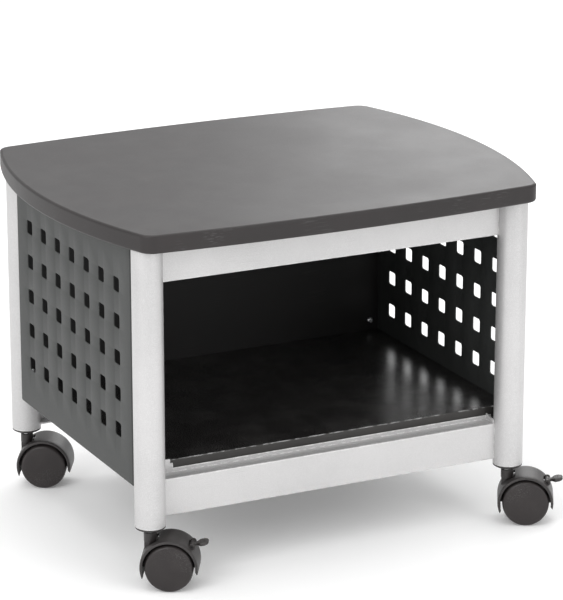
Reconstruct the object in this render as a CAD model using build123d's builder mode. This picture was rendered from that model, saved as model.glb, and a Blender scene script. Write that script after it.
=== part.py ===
from build123d import *
import os
from math import cos, radians, sin, sqrt

# Mobile printer stand: a laminate top on four round tube legs, with perforated side panels,
# a closed back, a lower shelf for paper, and a hooded twin-wheel caster under each leg.
# Units are millimetres. X runs across the stand, Y runs from the front to the back, Z is up.
# The origin is on the floor at the middle of the stand.

# ---------------------------------------------------------------- driving sizes
# Top
top_width = 514.0            # across the widest place of the bowed sides
top_depth = 412.0            # across the deepest place of the bowed front and back
stand_height = 378.0         # floor to the top surface
top_thickness = 19.0
side_bow = 36.0              # how far each side edge swells beyond its corners
end_bow = 10.0               # the same for the front and the back edge
corner_radius = 16.0
band_thickness = 3.0         # plastic edge band
band_round = 2.6             # rounding of the band's outer edges

# Legs
leg_diameter = 31.75
leg_wall = 1.5
leg_inset_x = 12.0           # top's corner to the leg's axis, across
leg_inset_y = 29.0           # top's corner to the leg's axis, front to back
leg_bottom = 65.0            # height of the tubes' lower ends

# Rails
rail_sheet = 1.5
rail_height = 40.0
rail_low = 71.0              # underside of the lower rails
rail_setback = 1.5           # rail face behind the leg's centre line
rail_return = 14.0           # depth of the folded returns
rail_end_short = 11.0        # leg's axis to the rail's square-cut end
apron_flange = leg_diameter / 2 + 11.625   # depth of the flange that holds the top
groove_start = 2.0           # rail face to the groove behind the front fold
groove_width = 7.5           # the groove's floor climbs to the ledge over this width
groove_depth = 3.0
ledge_depth = 32.5           # rail face to the end of the shelf support
lip_setback = leg_diameter / 2 + 0.625     # rail face to the lip, inboard of the panels' flanges
lip_height = 4.3
ear_inner = 34.0             # left leg's axis to the ear's inner side
ear_height = 14.3
ear_notch_width = 3.1
ear_notch_height = 4.6
end_plate_front = 3.0        # end plates above the ledge, at the rail's face
end_plate_rear = 6.5         # the same at the lip

# Shelf
shelf_thickness = 13.0
shelf_side_gap = 0.5
shelf_back_gap = 0.5
edging_thickness = 1.0

# Panels
panel_sheet = 1.2
panel_inset = 4.4            # panel face inboard of the leg's outermost line
panel_bottom = 103.0
panel_leg_flange = 18.0
panel_bottom_flange = 10.0
panel_top_flange = 14.5
panel_bend = 2.0             # outer radius of the panel's long bends
hole_size = 15.0
hole_corner = 2.5
hole_pitch = 38.5
hole_edge_y = 30.0           # least distance, hole centre to the panel's end
hole_edge_z = 45.0           # least distance, hole centre to the panel's top or bottom

# Screws
screw_radius = 2.0
screw_head_radius = 3.8
screw_head_height = 2.4
screw_length = 12.0
screw_end_height = 32.0      # panel's end to the nearest leg screw
top_screw_x = 120.0
top_screw_y = 70.0
shelf_screw_x = 120.0
shelf_screw_inset = 7.5      # ledge's inner edge to the shelf screws

# Casters
wheel_radius = 25.0
wheel_round = 3.2            # rounding between tread and outer face
wheel_inner = 3.9            # middle of the caster to a wheel's inner face
wheel_outer = 21.5           # middle of the caster to a wheel's outer face
wheel_face = 2.6             # thickness of the closed outer face over the axle's end
trail = 20.0                 # swivel axis to the wheels' axle
caster_heading = -30.0       # direction of the trail, measured from +X
axle_radius = 2.5
axle_clearance = 0.06
hood_gap = 2.4               # tread to the hood's inner face
hood_wall = 2.6
hood_half_width = 19.5
hood_front_angle = 203.5     # the hood's pointed ends, round the axle from the trailing side
hood_back_angle = -12.0
hood_point = 5.5             # how much further the outer skin runs than the inner one
web_half = 3.2
hub_radius = 8.0
boss_radius = 6.75
boss_top = 58.5
boss_bottom = 48.6
notch_half = 10.5            # opening in the hood round the boss
notch_gap = 1.6
stem_radius = 4.0
stem_clearance = 0.05
stem_bottom = 50.5
stem_top = 90.0
collar_radius = 5.7
collar_gap = 0.3
socket_cap = 3.5
socket_depth = 30.0
socket_end_gap = 3.0

# Brake lever
lever_angle = 42.0           # where the lever's pin lies round the axle
lever_pin_out = 3.6          # pin's centre outside the hood's inner face
lever_pin_radius = 1.2
lever_clearance = 0.05
lever_barrel = 2.7
lever_half = 6.0
lever_slot_half = 6.5
lever_slot_radius = 4.2
lever_cheek = 2.6            # thickness of each pivot cheek
lever_cheek_radius = 3.4
lever_neck_half = 3.4
lever_neck = 6.0
lever_length = 16.8
lever_blade = 3.0
paddle_half = 7.5
lever_rise = 12.0            # lever above level when the brake is off
nose_reach = 3.9             # pin's centre to the cam nose's tip
nose_half = 5.2

# ---------------------------------------------------------------- places that follow
underside = stand_height - top_thickness
corner_x = top_width / 2 - side_bow
corner_y = top_depth / 2 - end_bow
leg_x = corner_x - leg_inset_x
leg_y = corner_y - leg_inset_y
leg_radius = leg_diameter / 2
leg_bore = leg_radius - leg_wall
rail_face = leg_y - rail_setback
rail_end = leg_x - rail_end_short
rail_top = rail_low + rail_height
panel_face = leg_x + leg_radius - panel_inset
panel_end = leg_y - leg_radius
shelf_top = rail_top + shelf_thickness
shelf_front = rail_face - lip_setback - rail_sheet
back_face = panel_end - panel_sheet
back_inner = back_face - panel_sheet
hood_inner = wheel_radius + hood_gap
hood_outer = hood_inner + hood_wall
leg_screw_heights = [panel_bottom + screw_end_height, (panel_bottom + underside) / 2,
                     underside - screw_end_height]
corners = {"fl": (-1, -1), "fr": (1, -1), "rl": (-1, 1), "rr": (1, 1)}
braked = ("fl", "fr")

os.makedirs("parts", exist_ok=True)


def save(part, name):
    """Label one finished piece and write it to its own file."""
    part.label = name
    export_step(part, f"parts/{name}.step")


# ---------------------------------------------------------------- top
top_screw_line = rail_face - apron_flange + screw_head_radius + rail_sheet
side_screw_line = panel_face - panel_top_flange + screw_head_radius + 2 * panel_sheet
end_screw_places = [(x, y) for y in (-top_screw_line, top_screw_line)
                    for x in (-top_screw_x, 0, top_screw_x)]
side_screw_places = [(x, y) for x in (-side_screw_line, side_screw_line)
                     for y in (-top_screw_y, top_screw_y)]

def bowed_outline(inset):
    """The top's outline drawn in by an inset: four bowed edges that meet at rounded corners."""
    side_arc = (corner_y**2 + side_bow**2) / (2 * side_bow)
    end_arc = (corner_x**2 + end_bow**2) / (2 * end_bow)
    with BuildSketch(Plane.XY.offset(underside)) as outline:
        with Locations((top_width / 2 - side_arc, 0)):
            Circle(side_arc - inset)
        with Locations((side_arc - top_width / 2, 0)):
            Circle(side_arc - inset, mode=Mode.INTERSECT)
        with Locations((0, top_depth / 2 - end_arc)):
            Circle(end_arc - inset, mode=Mode.INTERSECT)
        with Locations((0, end_arc - top_depth / 2)):
            Circle(end_arc - inset, mode=Mode.INTERSECT)
        fillet(outline.vertices(), corner_radius - inset)
    return outline.sketch


with BuildPart() as top_board:
    extrude(bowed_outline(band_thickness), amount=top_thickness)
    with BuildSketch(Plane.XY.offset(underside)):
        with Locations(end_screw_places + side_screw_places):
            Circle(screw_radius)
    extrude(amount=screw_length, mode=Mode.SUBTRACT)
save(top_board.part, "top_board")

with BuildPart() as top_edge_band:
    extrude(bowed_outline(0), amount=top_thickness)
    rims = top_edge_band.edges().group_by(Axis.Z)
    fillet(rims[0] + rims[-1], band_round)
    extrude(bowed_outline(band_thickness), amount=top_thickness, mode=Mode.SUBTRACT)
save(top_edge_band.part, "top_edge_band")

# ---------------------------------------------------------------- legs
for corner, (sx, sy) in corners.items():
    with BuildPart() as leg:
        with BuildSketch(Plane.XY.offset(leg_bottom)):
            with Locations((sx * leg_x, sy * leg_y)):
                Circle(leg_radius)
                Circle(leg_bore, mode=Mode.SUBTRACT)
        extrude(amount=underside - leg_bottom)
        # threaded holes for the panel screws, in the wall that faces the panel's flange
        with BuildSketch(Plane.XZ.offset(-sy * leg_y)):
            with Locations([(sx * leg_x, z) for z in leg_screw_heights]):
                Circle(screw_radius)
        extrude(amount=sy * leg_diameter, mode=Mode.SUBTRACT)
    save(leg.part, f"leg_{corner}")

    with BuildPart() as socket:
        with BuildSketch(Plane.XY.offset(leg_bottom - socket_cap)):
            with Locations((sx * leg_x, sy * leg_y)):
                Circle(leg_radius)
        extrude(amount=socket_cap)
        chamfer(socket.edges().group_by(Axis.Z)[0], socket_cap / 2, socket_cap)
        with BuildSketch(Plane.XY.offset(leg_bottom)):
            with Locations((sx * leg_x, sy * leg_y)):
                Circle(leg_bore)
        extrude(amount=socket_depth)
        with BuildSketch(Plane.XY.offset(leg_bottom - socket_cap)):
            with Locations((sx * leg_x, sy * leg_y)):
                Circle(stem_radius + stem_clearance)
        extrude(amount=socket_cap + socket_depth - socket_end_gap, mode=Mode.SUBTRACT)
    save(socket.part, f"socket_{corner}")


# ---------------------------------------------------------------- rails
def cut_for_legs():
    """Cope the current part's ends round the four leg tubes."""
    with BuildSketch(Plane.XY) as leg_sections:
        with GridLocations(2 * leg_x, 2 * leg_y, 2, 2):
            Circle(leg_radius)
    extrude(leg_sections.sketch, amount=stand_height, mode=Mode.SUBTRACT)


def strip(depth_from, depth_to, low, high):
    """One straight run of folded sheet in the rail's cross-section: depth behind the face, height."""
    with Locations(((depth_from + depth_to) / 2, (low + high) / 2)):
        Rectangle(depth_to - depth_from, high - low)


def rail_plane(side):
    """Cross-section plane at the stand's middle: x runs inward from the rail's face, y is up."""
    return Plane(origin=(0, side * rail_face, 0), x_dir=(0, -side, 0), z_dir=(-side, 0, 0))


for side, apron_name in ((-1, "apron_front"), (1, "apron_rear")):
    with BuildPart() as apron:
        with BuildSketch(rail_plane(side)):
            strip(0, rail_sheet, underside - rail_height, underside)
            strip(0, rail_return, underside - rail_height, underside - rail_height + rail_sheet)
            strip(0, apron_flange, underside - rail_sheet, underside)
        extrude(amount=rail_end, both=True)
        face_edges = apron.edges().filter_by(Axis.X).sort_by(Axis.Y)
        face_edge = (face_edges[:2] if side < 0 else face_edges[-2:]).sort_by(Axis.Z)[0]
        fillet(face_edge, rail_sheet)
        cut_for_legs()
        with BuildSketch(Plane.XY.offset(underside - rail_sheet)):
            with Locations([(x, side * top_screw_line) for x in (-top_screw_x, 0, top_screw_x)]):
                Circle(screw_radius)
        extrude(amount=rail_sheet, mode=Mode.SUBTRACT)
    save(apron.part, apron_name)

groove_end = groove_start + groove_width
ledge_top = rail_top - rail_sheet
groove_floor = rail_top - groove_depth
end_plate_x = leg_x - leg_radius
shelf_screw_line = rail_face - ledge_depth + shelf_screw_inset


def drill_ledge(side):
    """Cut the shelf screws' holes through the current rail's ledge."""
    with BuildSketch(Plane.XY.offset(ledge_top)) as holes:
        with Locations([(x, side * shelf_screw_line) for x in (-shelf_screw_x, shelf_screw_x)]):
            Circle(screw_radius)
    extrude(holes.sketch, amount=rail_sheet, mode=Mode.SUBTRACT)


with BuildPart() as lower_rail_front:
    with BuildSketch(rail_plane(-1)):
        strip(0, rail_sheet, rail_low, rail_top)
        strip(0, rail_return, rail_low, rail_low + rail_sheet)
        strip(0, groove_start, groove_floor - rail_sheet, rail_top)
        with BuildLine():
            Polyline((rail_sheet / 2, groove_floor - rail_sheet), (groove_start, groove_floor),
                     (groove_end, rail_top), (groove_end + rail_sheet, ledge_top), close=True)
        make_face()
        strip(groove_end, ledge_depth, ledge_top, rail_top)
        strip(lip_setback, lip_setback + rail_sheet, ledge_top, rail_top + lip_height)
    extrude(amount=rail_end, both=True)
    rail_edges = lower_rail_front.edges().filter_by(Axis.X)
    fillet(rail_edges.group_by(Axis.Y)[0], rail_sheet - 0.1)
    fillet(lower_rail_front.edges().filter_by(Axis.X).group_by(Axis.Z)[-1], rail_sheet / 2 - 0.05)
    # the lip stands taller at the left end, with a notched corner
    ear_end = leg_x - ear_inner
    with BuildSketch(Plane.XZ.offset(rail_face - lip_setback)):
        with Locations((-(rail_end + ear_end) / 2, rail_top + ear_height / 2)):
            Rectangle(rail_end - ear_end, ear_height)
        with Locations((-ear_end, rail_top + ear_height)):
            Rectangle(2 * ear_notch_width, 2 * ear_notch_height, mode=Mode.SUBTRACT)
    extrude(amount=-rail_sheet)
    # end plates beside the legs, lower at the front
    for s in (-1, 1):
        end_plane = Plane(origin=(s * end_plate_x, 0, 0), x_dir=(0, 1, 0), z_dir=(1, 0, 0))
        with BuildSketch(end_plane):
            with BuildLine():
                Polyline((-rail_face + rail_sheet, ledge_top), (-rail_face + lip_setback, ledge_top),
                         (-rail_face + lip_setback, rail_top + end_plate_rear),
                         (-rail_face + rail_sheet, rail_top + end_plate_front), close=True)
            make_face()
        extrude(amount=-s * rail_sheet)
    drill_ledge(-1)
    cut_for_legs()
save(lower_rail_front.part, "lower_rail_front")

with BuildPart() as lower_rail_rear:
    with BuildSketch(rail_plane(1)):
        strip(0, rail_sheet, rail_low, rail_top)
        strip(0, rail_return, rail_low, rail_low + rail_sheet)
        strip(0, ledge_depth, ledge_top, rail_top)
    extrude(amount=rail_end, both=True)
    rear_edges = lower_rail_rear.edges().filter_by(Axis.X).group_by(Axis.Y)[-1]
    fillet(rear_edges, rail_sheet - 0.1)
    drill_ledge(1)
    cut_for_legs()
save(lower_rail_rear.part, "lower_rail_rear")

# ---------------------------------------------------------------- shelf
shelf_half = panel_face - panel_sheet - shelf_side_gap
shelf_back = back_inner - shelf_back_gap
board_front = shelf_front - edging_thickness
with BuildPart() as shelf_board:
    with BuildSketch(Plane.XY.offset(rail_top)):
        with Locations((0, (shelf_back - board_front) / 2)):
            Rectangle(2 * shelf_half, shelf_back + board_front)
    extrude(amount=shelf_thickness)
    with BuildSketch(Plane.XY.offset(rail_top)):
        with GridLocations(2 * shelf_screw_x, 2 * shelf_screw_line, 2, 2):
            Circle(screw_radius)
    extrude(amount=screw_length - rail_sheet, mode=Mode.SUBTRACT)
save(shelf_board.part, "shelf_board")

with BuildPart() as shelf_edging:
    with BuildSketch(Plane.XY.offset(rail_top)):
        with Locations((0, -shelf_front + edging_thickness / 2)):
            Rectangle(2 * shelf_half, edging_thickness)
    extrude(amount=shelf_thickness)
    fillet(shelf_edging.edges().filter_by(Axis.X).group_by(Axis.Y)[0].sort_by(Axis.Z)[-1],
           edging_thickness / 2)
save(shelf_edging.part, "shelf_edging")

# ---------------------------------------------------------------- panels
panel_height = underside - panel_bottom
panel_middle = (underside + panel_bottom) / 2
hole_columns = int((2 * panel_end - 2 * hole_edge_y) // hole_pitch) + 1
hole_rows = int((panel_height - 2 * hole_edge_z) // hole_pitch) + 1

for side, panel_name in ((-1, "side_panel_left"), (1, "side_panel_right")):
    face_plane = Plane(origin=(side * panel_face, 0, panel_middle), x_dir=(0, 1, 0),
                       z_dir=(side, 0, 0))
    with BuildPart() as side_panel:
        with BuildSketch(face_plane):
            Rectangle(2 * panel_end, panel_height)
        extrude(amount=-panel_leg_flange)
        with BuildSketch(face_plane.offset(-panel_sheet)):
            Rectangle(2 * panel_end - 2 * panel_sheet, panel_height - 2 * panel_sheet)
        extrude(amount=-panel_leg_flange, mode=Mode.SUBTRACT)
        # the bottom and top returns are shorter than the flanges on the legs
        with BuildSketch(face_plane.offset(-panel_bottom_flange)):
            with Locations((0, -panel_height / 2 + panel_sheet / 2)):
                Rectangle(2 * panel_end - 2 * panel_sheet, panel_sheet)
        extrude(amount=-panel_leg_flange, mode=Mode.SUBTRACT)
        with BuildSketch(face_plane.offset(-panel_top_flange)):
            with Locations((0, panel_height / 2 - panel_sheet / 2)):
                Rectangle(2 * panel_end - 2 * panel_sheet, panel_sheet)
        extrude(amount=-panel_leg_flange, mode=Mode.SUBTRACT)
        long_bends = side_panel.faces().sort_by(Axis.X)[0 if side < 0 else -1].edges()
        fillet(long_bends.filter_by(Axis.Z), panel_bend)
        with BuildSketch(face_plane):
            with GridLocations(hole_pitch, hole_pitch, hole_columns, hole_rows):
                RectangleRounded(hole_size, hole_size, hole_corner)
        extrude(amount=-panel_sheet, mode=Mode.SUBTRACT)
        # screw holes through the leg flanges and the top return
        with BuildSketch(Plane.XZ):
            with Locations([(side * leg_x, z) for z in leg_screw_heights]):
                Circle(screw_radius)
        extrude(amount=panel_end, both=True, mode=Mode.SUBTRACT)
        with BuildSketch(Plane.XY.offset(underside - panel_sheet)):
            with Locations([(side * side_screw_line, y) for y in (-top_screw_y, top_screw_y)]):
                Circle(screw_radius)
        extrude(amount=panel_sheet, mode=Mode.SUBTRACT)
    save(side_panel.part, panel_name)

back_top = underside - rail_sheet
with BuildPart() as back_panel:
    with BuildSketch(Plane.XZ.offset(-back_inner)):
        with Locations((0, (rail_top + back_top) / 2)):
            Rectangle(2 * shelf_half, back_top - rail_top)
        with Locations([(s * leg_x, z) for s in (-1, 1) for z in leg_screw_heights]):
            Circle(screw_radius, mode=Mode.SUBTRACT)
    extrude(amount=-panel_sheet)
save(back_panel.part, "back_panel")


# ---------------------------------------------------------------- screws
def screws(places, plane, shank):
    """Pan-head screws: each head sits on the plane's back and its shank runs along the normal."""
    with BuildSketch(plane) as heads:
        with Locations(places):
            Circle(screw_head_radius)
    extrude(heads.sketch, amount=-screw_head_height)
    with BuildSketch(plane) as shanks:
        with Locations(places):
            Circle(screw_radius)
    extrude(shanks.sketch, amount=shank)


with BuildPart() as top_screws:
    screws(end_screw_places, Plane.XY.offset(underside - rail_sheet), screw_length)
    screws(side_screw_places, Plane.XY.offset(underside - panel_sheet), screw_length)
save(top_screws.part, "top_screws")

leg_screw_places = [(s * leg_x, z) for s in (-1, 1) for z in leg_screw_heights]
with BuildPart() as front_panel_screws:
    screws(leg_screw_places, Plane.XZ.offset(panel_end - panel_sheet), screw_length / 2)
save(front_panel_screws.part, "front_panel_screws")

with BuildPart() as rear_panel_screws:
    rear_plane = Plane(origin=(0, back_inner, 0), x_dir=(-1, 0, 0), z_dir=(0, 1, 0))
    screws(leg_screw_places, rear_plane, screw_length / 2 + panel_sheet)
save(rear_panel_screws.part, "rear_panel_screws")

with BuildPart() as shelf_screws:
    shelf_screw_places = [(x, y) for x in (-shelf_screw_x, shelf_screw_x)
                          for y in (-shelf_screw_line, shelf_screw_line)]
    screws(shelf_screw_places, Plane.XY.offset(ledge_top), screw_length)
save(shelf_screws.part, "shelf_screws")

# ---------------------------------------------------------------- casters
heading = Vector(cos(radians(caster_heading)), sin(radians(caster_heading)), 0)
across = Vector(sin(radians(caster_heading)), -cos(radians(caster_heading)), 0)
lever_pin_distance = hood_inner + lever_pin_out


def ring_point(radius, angle):
    """A point round the axle, with the angle measured up from the trailing side."""
    return (radius * cos(radians(angle)), radius * sin(radians(angle)))


for corner, (sx, sy) in corners.items():
    swivel = Vector(sx * leg_x, sy * leg_y, 0)
    axle_centre = swivel + heading * trail + Vector(0, 0, wheel_radius)
    # side view through the caster's middle: x along the trail, y up, normal along the axle
    side_view = Plane(origin=tuple(axle_centre), x_dir=tuple(heading), z_dir=tuple(across))
    pin_x, pin_y = ring_point(lever_pin_distance, lever_angle)
    has_brake = corner in braked

    with BuildPart() as hood:
        with BuildSketch(side_view):
            with BuildLine():
                outer_arc = ThreePointArc(ring_point(hood_outer, hood_back_angle),
                                          ring_point(hood_outer, 90),
                                          ring_point(hood_outer, hood_front_angle))
                inner_arc = ThreePointArc(ring_point(hood_inner, hood_front_angle - hood_point),
                                          ring_point(hood_inner, 90),
                                          ring_point(hood_inner, hood_back_angle + hood_point))
                Line(outer_arc @ 1, inner_arc @ 0)
                Line(inner_arc @ 1, outer_arc @ 0)
            make_face()
        extrude(amount=hood_half_width, both=True)
        rims = hood.edges().filter_by(GeomType.CIRCLE)
        fillet(rims.filter_by(lambda e: abs(e.radius - hood_outer) < 0.01), hood_wall / 2)
        # opening round the boss
        with BuildSketch(side_view):
            with Locations((-trail, boss_top - wheel_radius)):
                Rectangle(2 * (boss_radius + notch_gap), 2 * (boss_top - boss_bottom + notch_gap))
        extrude(amount=notch_half, both=True, mode=Mode.SUBTRACT)
        if has_brake:
            with BuildSketch(side_view):
                with Locations((pin_x, pin_y)):
                    Circle(lever_slot_radius)
            extrude(amount=lever_slot_half, both=True, mode=Mode.SUBTRACT)
        # middle web from the hub up to the hood and out to the boss
        with BuildSketch(side_view):
            Circle(hood_inner + hood_wall / 2)
            with Locations((0, -hood_outer)):
                Rectangle(2 * hood_outer, 2 * hood_outer - hub_radius, mode=Mode.SUBTRACT)
            Circle(hub_radius)
            with Locations((-trail + notch_gap / 2, boss_bottom - wheel_radius - boss_radius / 2)):
                Rectangle(2 * boss_radius + notch_gap, 2 * boss_radius)
            if has_brake:
                with Locations((pin_x, pin_y)):
                    Circle(lever_slot_radius, mode=Mode.SUBTRACT)
        extrude(amount=web_half, both=True)
        with BuildSketch(Plane.XY.offset(boss_bottom)):
            with Locations((swivel.X, swivel.Y)):
                Circle(boss_radius)
        extrude(amount=boss_top - boss_bottom)
        fillet(hood.edges().filter_by(GeomType.CIRCLE).group_by(Axis.Z)[-1], 0.6)
        if has_brake:
            for start in (lever_slot_half, -lever_slot_half - lever_cheek):
                with BuildSketch(side_view.offset(start)):
                    with Locations((pin_x, pin_y)):
                        Circle(lever_cheek_radius)
                extrude(amount=lever_cheek)
            with BuildSketch(side_view):
                with Locations((pin_x, pin_y)):
                    Circle(lever_pin_radius)
            extrude(amount=lever_slot_half + lever_cheek, both=True, mode=Mode.SUBTRACT)
        with BuildSketch(Plane.XY.offset(stem_bottom)):
            with Locations((swivel.X, swivel.Y)):
                Circle(stem_radius)
        extrude(amount=boss_top - stem_bottom, mode=Mode.SUBTRACT)
        with BuildSketch(side_view):
            Circle(axle_radius)
        extrude(amount=web_half, both=True, mode=Mode.SUBTRACT)
    save(hood.part, f"hood_{corner}")

    with BuildPart() as stem:
        with BuildSketch(Plane.XY.offset(stem_bottom)):
            with Locations((swivel.X, swivel.Y)):
                Circle(stem_radius)
        extrude(amount=stem_top - stem_bottom)
        chamfer(stem.edges().group_by(Axis.Z)[-1], stem_radius / 4)
        with BuildSketch(Plane.XY.offset(boss_top)):
            with Locations((swivel.X, swivel.Y)):
                Circle(collar_radius)
        extrude(amount=leg_bottom - socket_cap - collar_gap - boss_top)
    save(stem.part, f"stem_{corner}")

    axle_half = wheel_outer - wheel_face - axle_clearance
    with BuildPart() as axle:
        with BuildSketch(side_view):
            Circle(axle_radius)
        extrude(amount=axle_half, both=True)
    save(axle.part, f"axle_{corner}")

    for wheel_side, letter in ((1, "a"), (-1, "b")):
        # half section of the wheel: x is the radius, y runs out along the axle
        section = Plane(origin=tuple(axle_centre), x_dir=(0, 0, 1), z_dir=tuple(heading * wheel_side))
        bore = axle_radius + axle_clearance
        with BuildPart() as wheel:
            with BuildSketch(section):
                with BuildLine():
                    Polyline((0, wheel_outer - wheel_face), (bore, wheel_outer - wheel_face),
                             (bore, wheel_inner), (wheel_radius - 0.8, wheel_inner),
                             (wheel_radius, wheel_inner + 0.8),
                             (wheel_radius, wheel_outer - wheel_round))
                    RadiusArc((wheel_radius, wheel_outer - wheel_round),
                              (wheel_radius - wheel_round, wheel_outer), -wheel_round)
                    Polyline((wheel_radius - wheel_round, wheel_outer), (0, wheel_outer),
                             (0, wheel_outer - wheel_face))
                make_face()
            revolve(axis=Axis(tuple(axle_centre), tuple(across)))
        save(wheel.part, f"wheel_{corner}_{letter}")

    if has_brake:
        lever_view = Plane(origin=tuple(side_view.from_local_coords((pin_x, pin_y, 0))),
                           x_dir=tuple(heading * cos(radians(lever_rise))
                                       + Vector(0, 0, sin(radians(lever_rise)))),
                           z_dir=tuple(across))
        nose = lever_angle + 180 - lever_rise
        with BuildPart() as lever:
            with BuildSketch(lever_view):
                Circle(lever_barrel)
                with BuildLine():
                    Polyline((0, lever_barrel), (lever_neck, lever_blade / 2),
                             (lever_neck, -lever_blade / 2), (0, -lever_barrel), close=True)
                make_face()
            extrude(amount=lever_neck_half, both=True)
            with BuildSketch(lever_view):
                Circle(lever_barrel)
            extrude(amount=lever_half, both=True)
            with BuildSketch(lever_view):
                with BuildLine():
                    tip = (nose_reach * cos(radians(nose)), nose_reach * sin(radians(nose)))
                    Polyline((lever_barrel * cos(radians(nose + 55)), lever_barrel * sin(radians(nose + 55))),
                             tip,
                             (lever_barrel * cos(radians(nose - 55)), lever_barrel * sin(radians(nose - 55))),
                             (0, 0), close=True)
                make_face()
            extrude(amount=nose_half, both=True)
            with BuildSketch(lever_view.offset(-paddle_half)):
                with BuildLine():
                    Polyline((lever_neck - lever_blade / 2, -lever_blade / 2),
                             (lever_length - lever_blade, -lever_blade / 2 - 0.6),
                             (lever_length, 0), (lever_length - lever_blade, lever_blade / 2 + 0.6),
                             (lever_neck - lever_blade / 2, lever_blade / 2), close=True)
                make_face()
            extrude(amount=2 * paddle_half)
            with BuildSketch(lever_view):
                Circle(lever_pin_radius + lever_clearance)
            extrude(amount=paddle_half, both=True, mode=Mode.SUBTRACT)
        save(lever.part, f"lever_{corner}")

        with BuildPart() as lever_pin:
            with BuildSketch(lever_view):
                Circle(lever_pin_radius)
            extrude(amount=lever_slot_half + lever_cheek, both=True)
        save(lever_pin.part, f"lever_pin_{corner}")
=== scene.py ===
# %% [markdown]
# # A mobile printer stand
#
# The stand is a dark laminate top on four silver tube legs. Two perforated steel panels and a
# closed back stiffen it, a low shelf carries paper, and a hooded twin-wheel caster turns under
# each leg. This lesson takes the stand's engineering model as a fixed frame and gives it its
# finishes, and rebuilds the turned, moulded and folded pieces as finer surfaces.
#
# All lengths are in metres. X runs across the stand, Y from front to back, and Z is up.

# %% Load the frame
from math import cos, radians, sin

import bpy
import numpy as np
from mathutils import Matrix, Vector


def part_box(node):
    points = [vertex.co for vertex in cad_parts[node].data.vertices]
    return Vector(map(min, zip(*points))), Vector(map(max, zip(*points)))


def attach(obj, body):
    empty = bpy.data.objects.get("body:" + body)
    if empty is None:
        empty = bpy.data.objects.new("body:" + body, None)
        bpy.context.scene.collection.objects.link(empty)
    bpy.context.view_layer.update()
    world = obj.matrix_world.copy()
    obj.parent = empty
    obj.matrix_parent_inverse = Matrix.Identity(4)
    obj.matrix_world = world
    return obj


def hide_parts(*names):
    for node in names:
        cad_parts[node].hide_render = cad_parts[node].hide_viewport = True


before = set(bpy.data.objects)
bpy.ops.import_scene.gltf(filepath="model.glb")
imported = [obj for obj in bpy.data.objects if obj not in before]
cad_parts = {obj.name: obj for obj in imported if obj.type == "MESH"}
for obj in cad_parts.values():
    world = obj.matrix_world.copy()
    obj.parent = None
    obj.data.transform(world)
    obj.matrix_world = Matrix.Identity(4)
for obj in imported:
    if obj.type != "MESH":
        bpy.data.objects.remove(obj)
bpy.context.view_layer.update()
mm = 0.001

# %% [markdown]
# ## Camera
#
# A long lens from a little above and to the left keeps the uprights nearly parallel, as in a
# shop's picture of furniture. The camera's turn comes from its line of sight, so its place and
# the way it looks can't disagree.

# %% Camera
camera_place = Vector((-1.41425, -2.89997, 1.22583))
camera_back = Vector((-0.42407, -0.85617, 0.29519))
sensor_width = 36.0
focal_length = 189.08

camera_data = bpy.data.cameras.new("camera")
camera_data.sensor_width = sensor_width
camera_data.lens = focal_length
camera = bpy.data.objects.new("camera", camera_data)
camera.location = camera_place
camera.rotation_mode = "QUATERNION"
camera.rotation_quaternion = camera_back.to_track_quat("Z", "Y")
bpy.context.scene.collection.objects.link(camera)
bpy.context.scene.camera = camera
print("camera:", [round(x, 3) for x in camera.location], "lens", focal_length)

# %% [markdown]
# ## Studio
#
# Dark plastic and laminate show mostly what they reflect. A bright even surround gives the top
# its pale sheen at low angles, and large soft lamps give the round legs their gentle shading
# without hard shadows. A weak lamp behind, on the right, makes that sheen grow across the top.
# A window-shaped lamp would draw its own shape on the satin plastic.

# %% Floor, surround and lamps
floor_half = 6.0
surround_strength = 0.82
lamps = {
    "lamp_left": ((-2.6, -1.6, 2.2), 2.2, 44.0),
    "lamp_front": ((1.2, -3.2, 1.6), 1.8, 20.0),
    "lamp_above": ((0.2, 0.4, 2.8), 2.4, 30.0),
    "lamp_behind": ((1.75, 2.1, 1.05), 1.3, 9.0),
}


def node_tree(owner):
    """Switch an owner's nodes on and hand back its emptied tree."""
    owner.use_nodes = True
    owner.node_tree.nodes.clear()
    return owner.node_tree


world = bpy.data.worlds.new("surround")
bpy.context.scene.world = world
tree = node_tree(world)
glow = tree.nodes.new("ShaderNodeBackground")
glow.inputs["Color"].default_value = (1.0, 1.0, 1.0, 1.0)
glow.inputs["Strength"].default_value = surround_strength
surround_out = tree.nodes.new("ShaderNodeOutputWorld")
tree.links.new(glow.outputs["Background"], surround_out.inputs["Surface"])

look_at = Vector((0.0, 0.0, 0.2))
for lamp_name, (place, size, power) in lamps.items():
    lamp_data = bpy.data.lights.new(lamp_name, "AREA")
    lamp_data.shape = "DISK"
    lamp_data.size = size
    lamp_data.energy = power
    lamp = bpy.data.objects.new(lamp_name, lamp_data)
    lamp.location = place
    lamp.visible_camera = False
    lamp.rotation_euler = (Vector(place) - look_at).to_track_quat("Z", "Y").to_euler()
    bpy.context.scene.collection.objects.link(lamp)

bpy.context.scene.view_settings.view_transform = "Standard"
print("lamps:", ", ".join(lamps))
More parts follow.
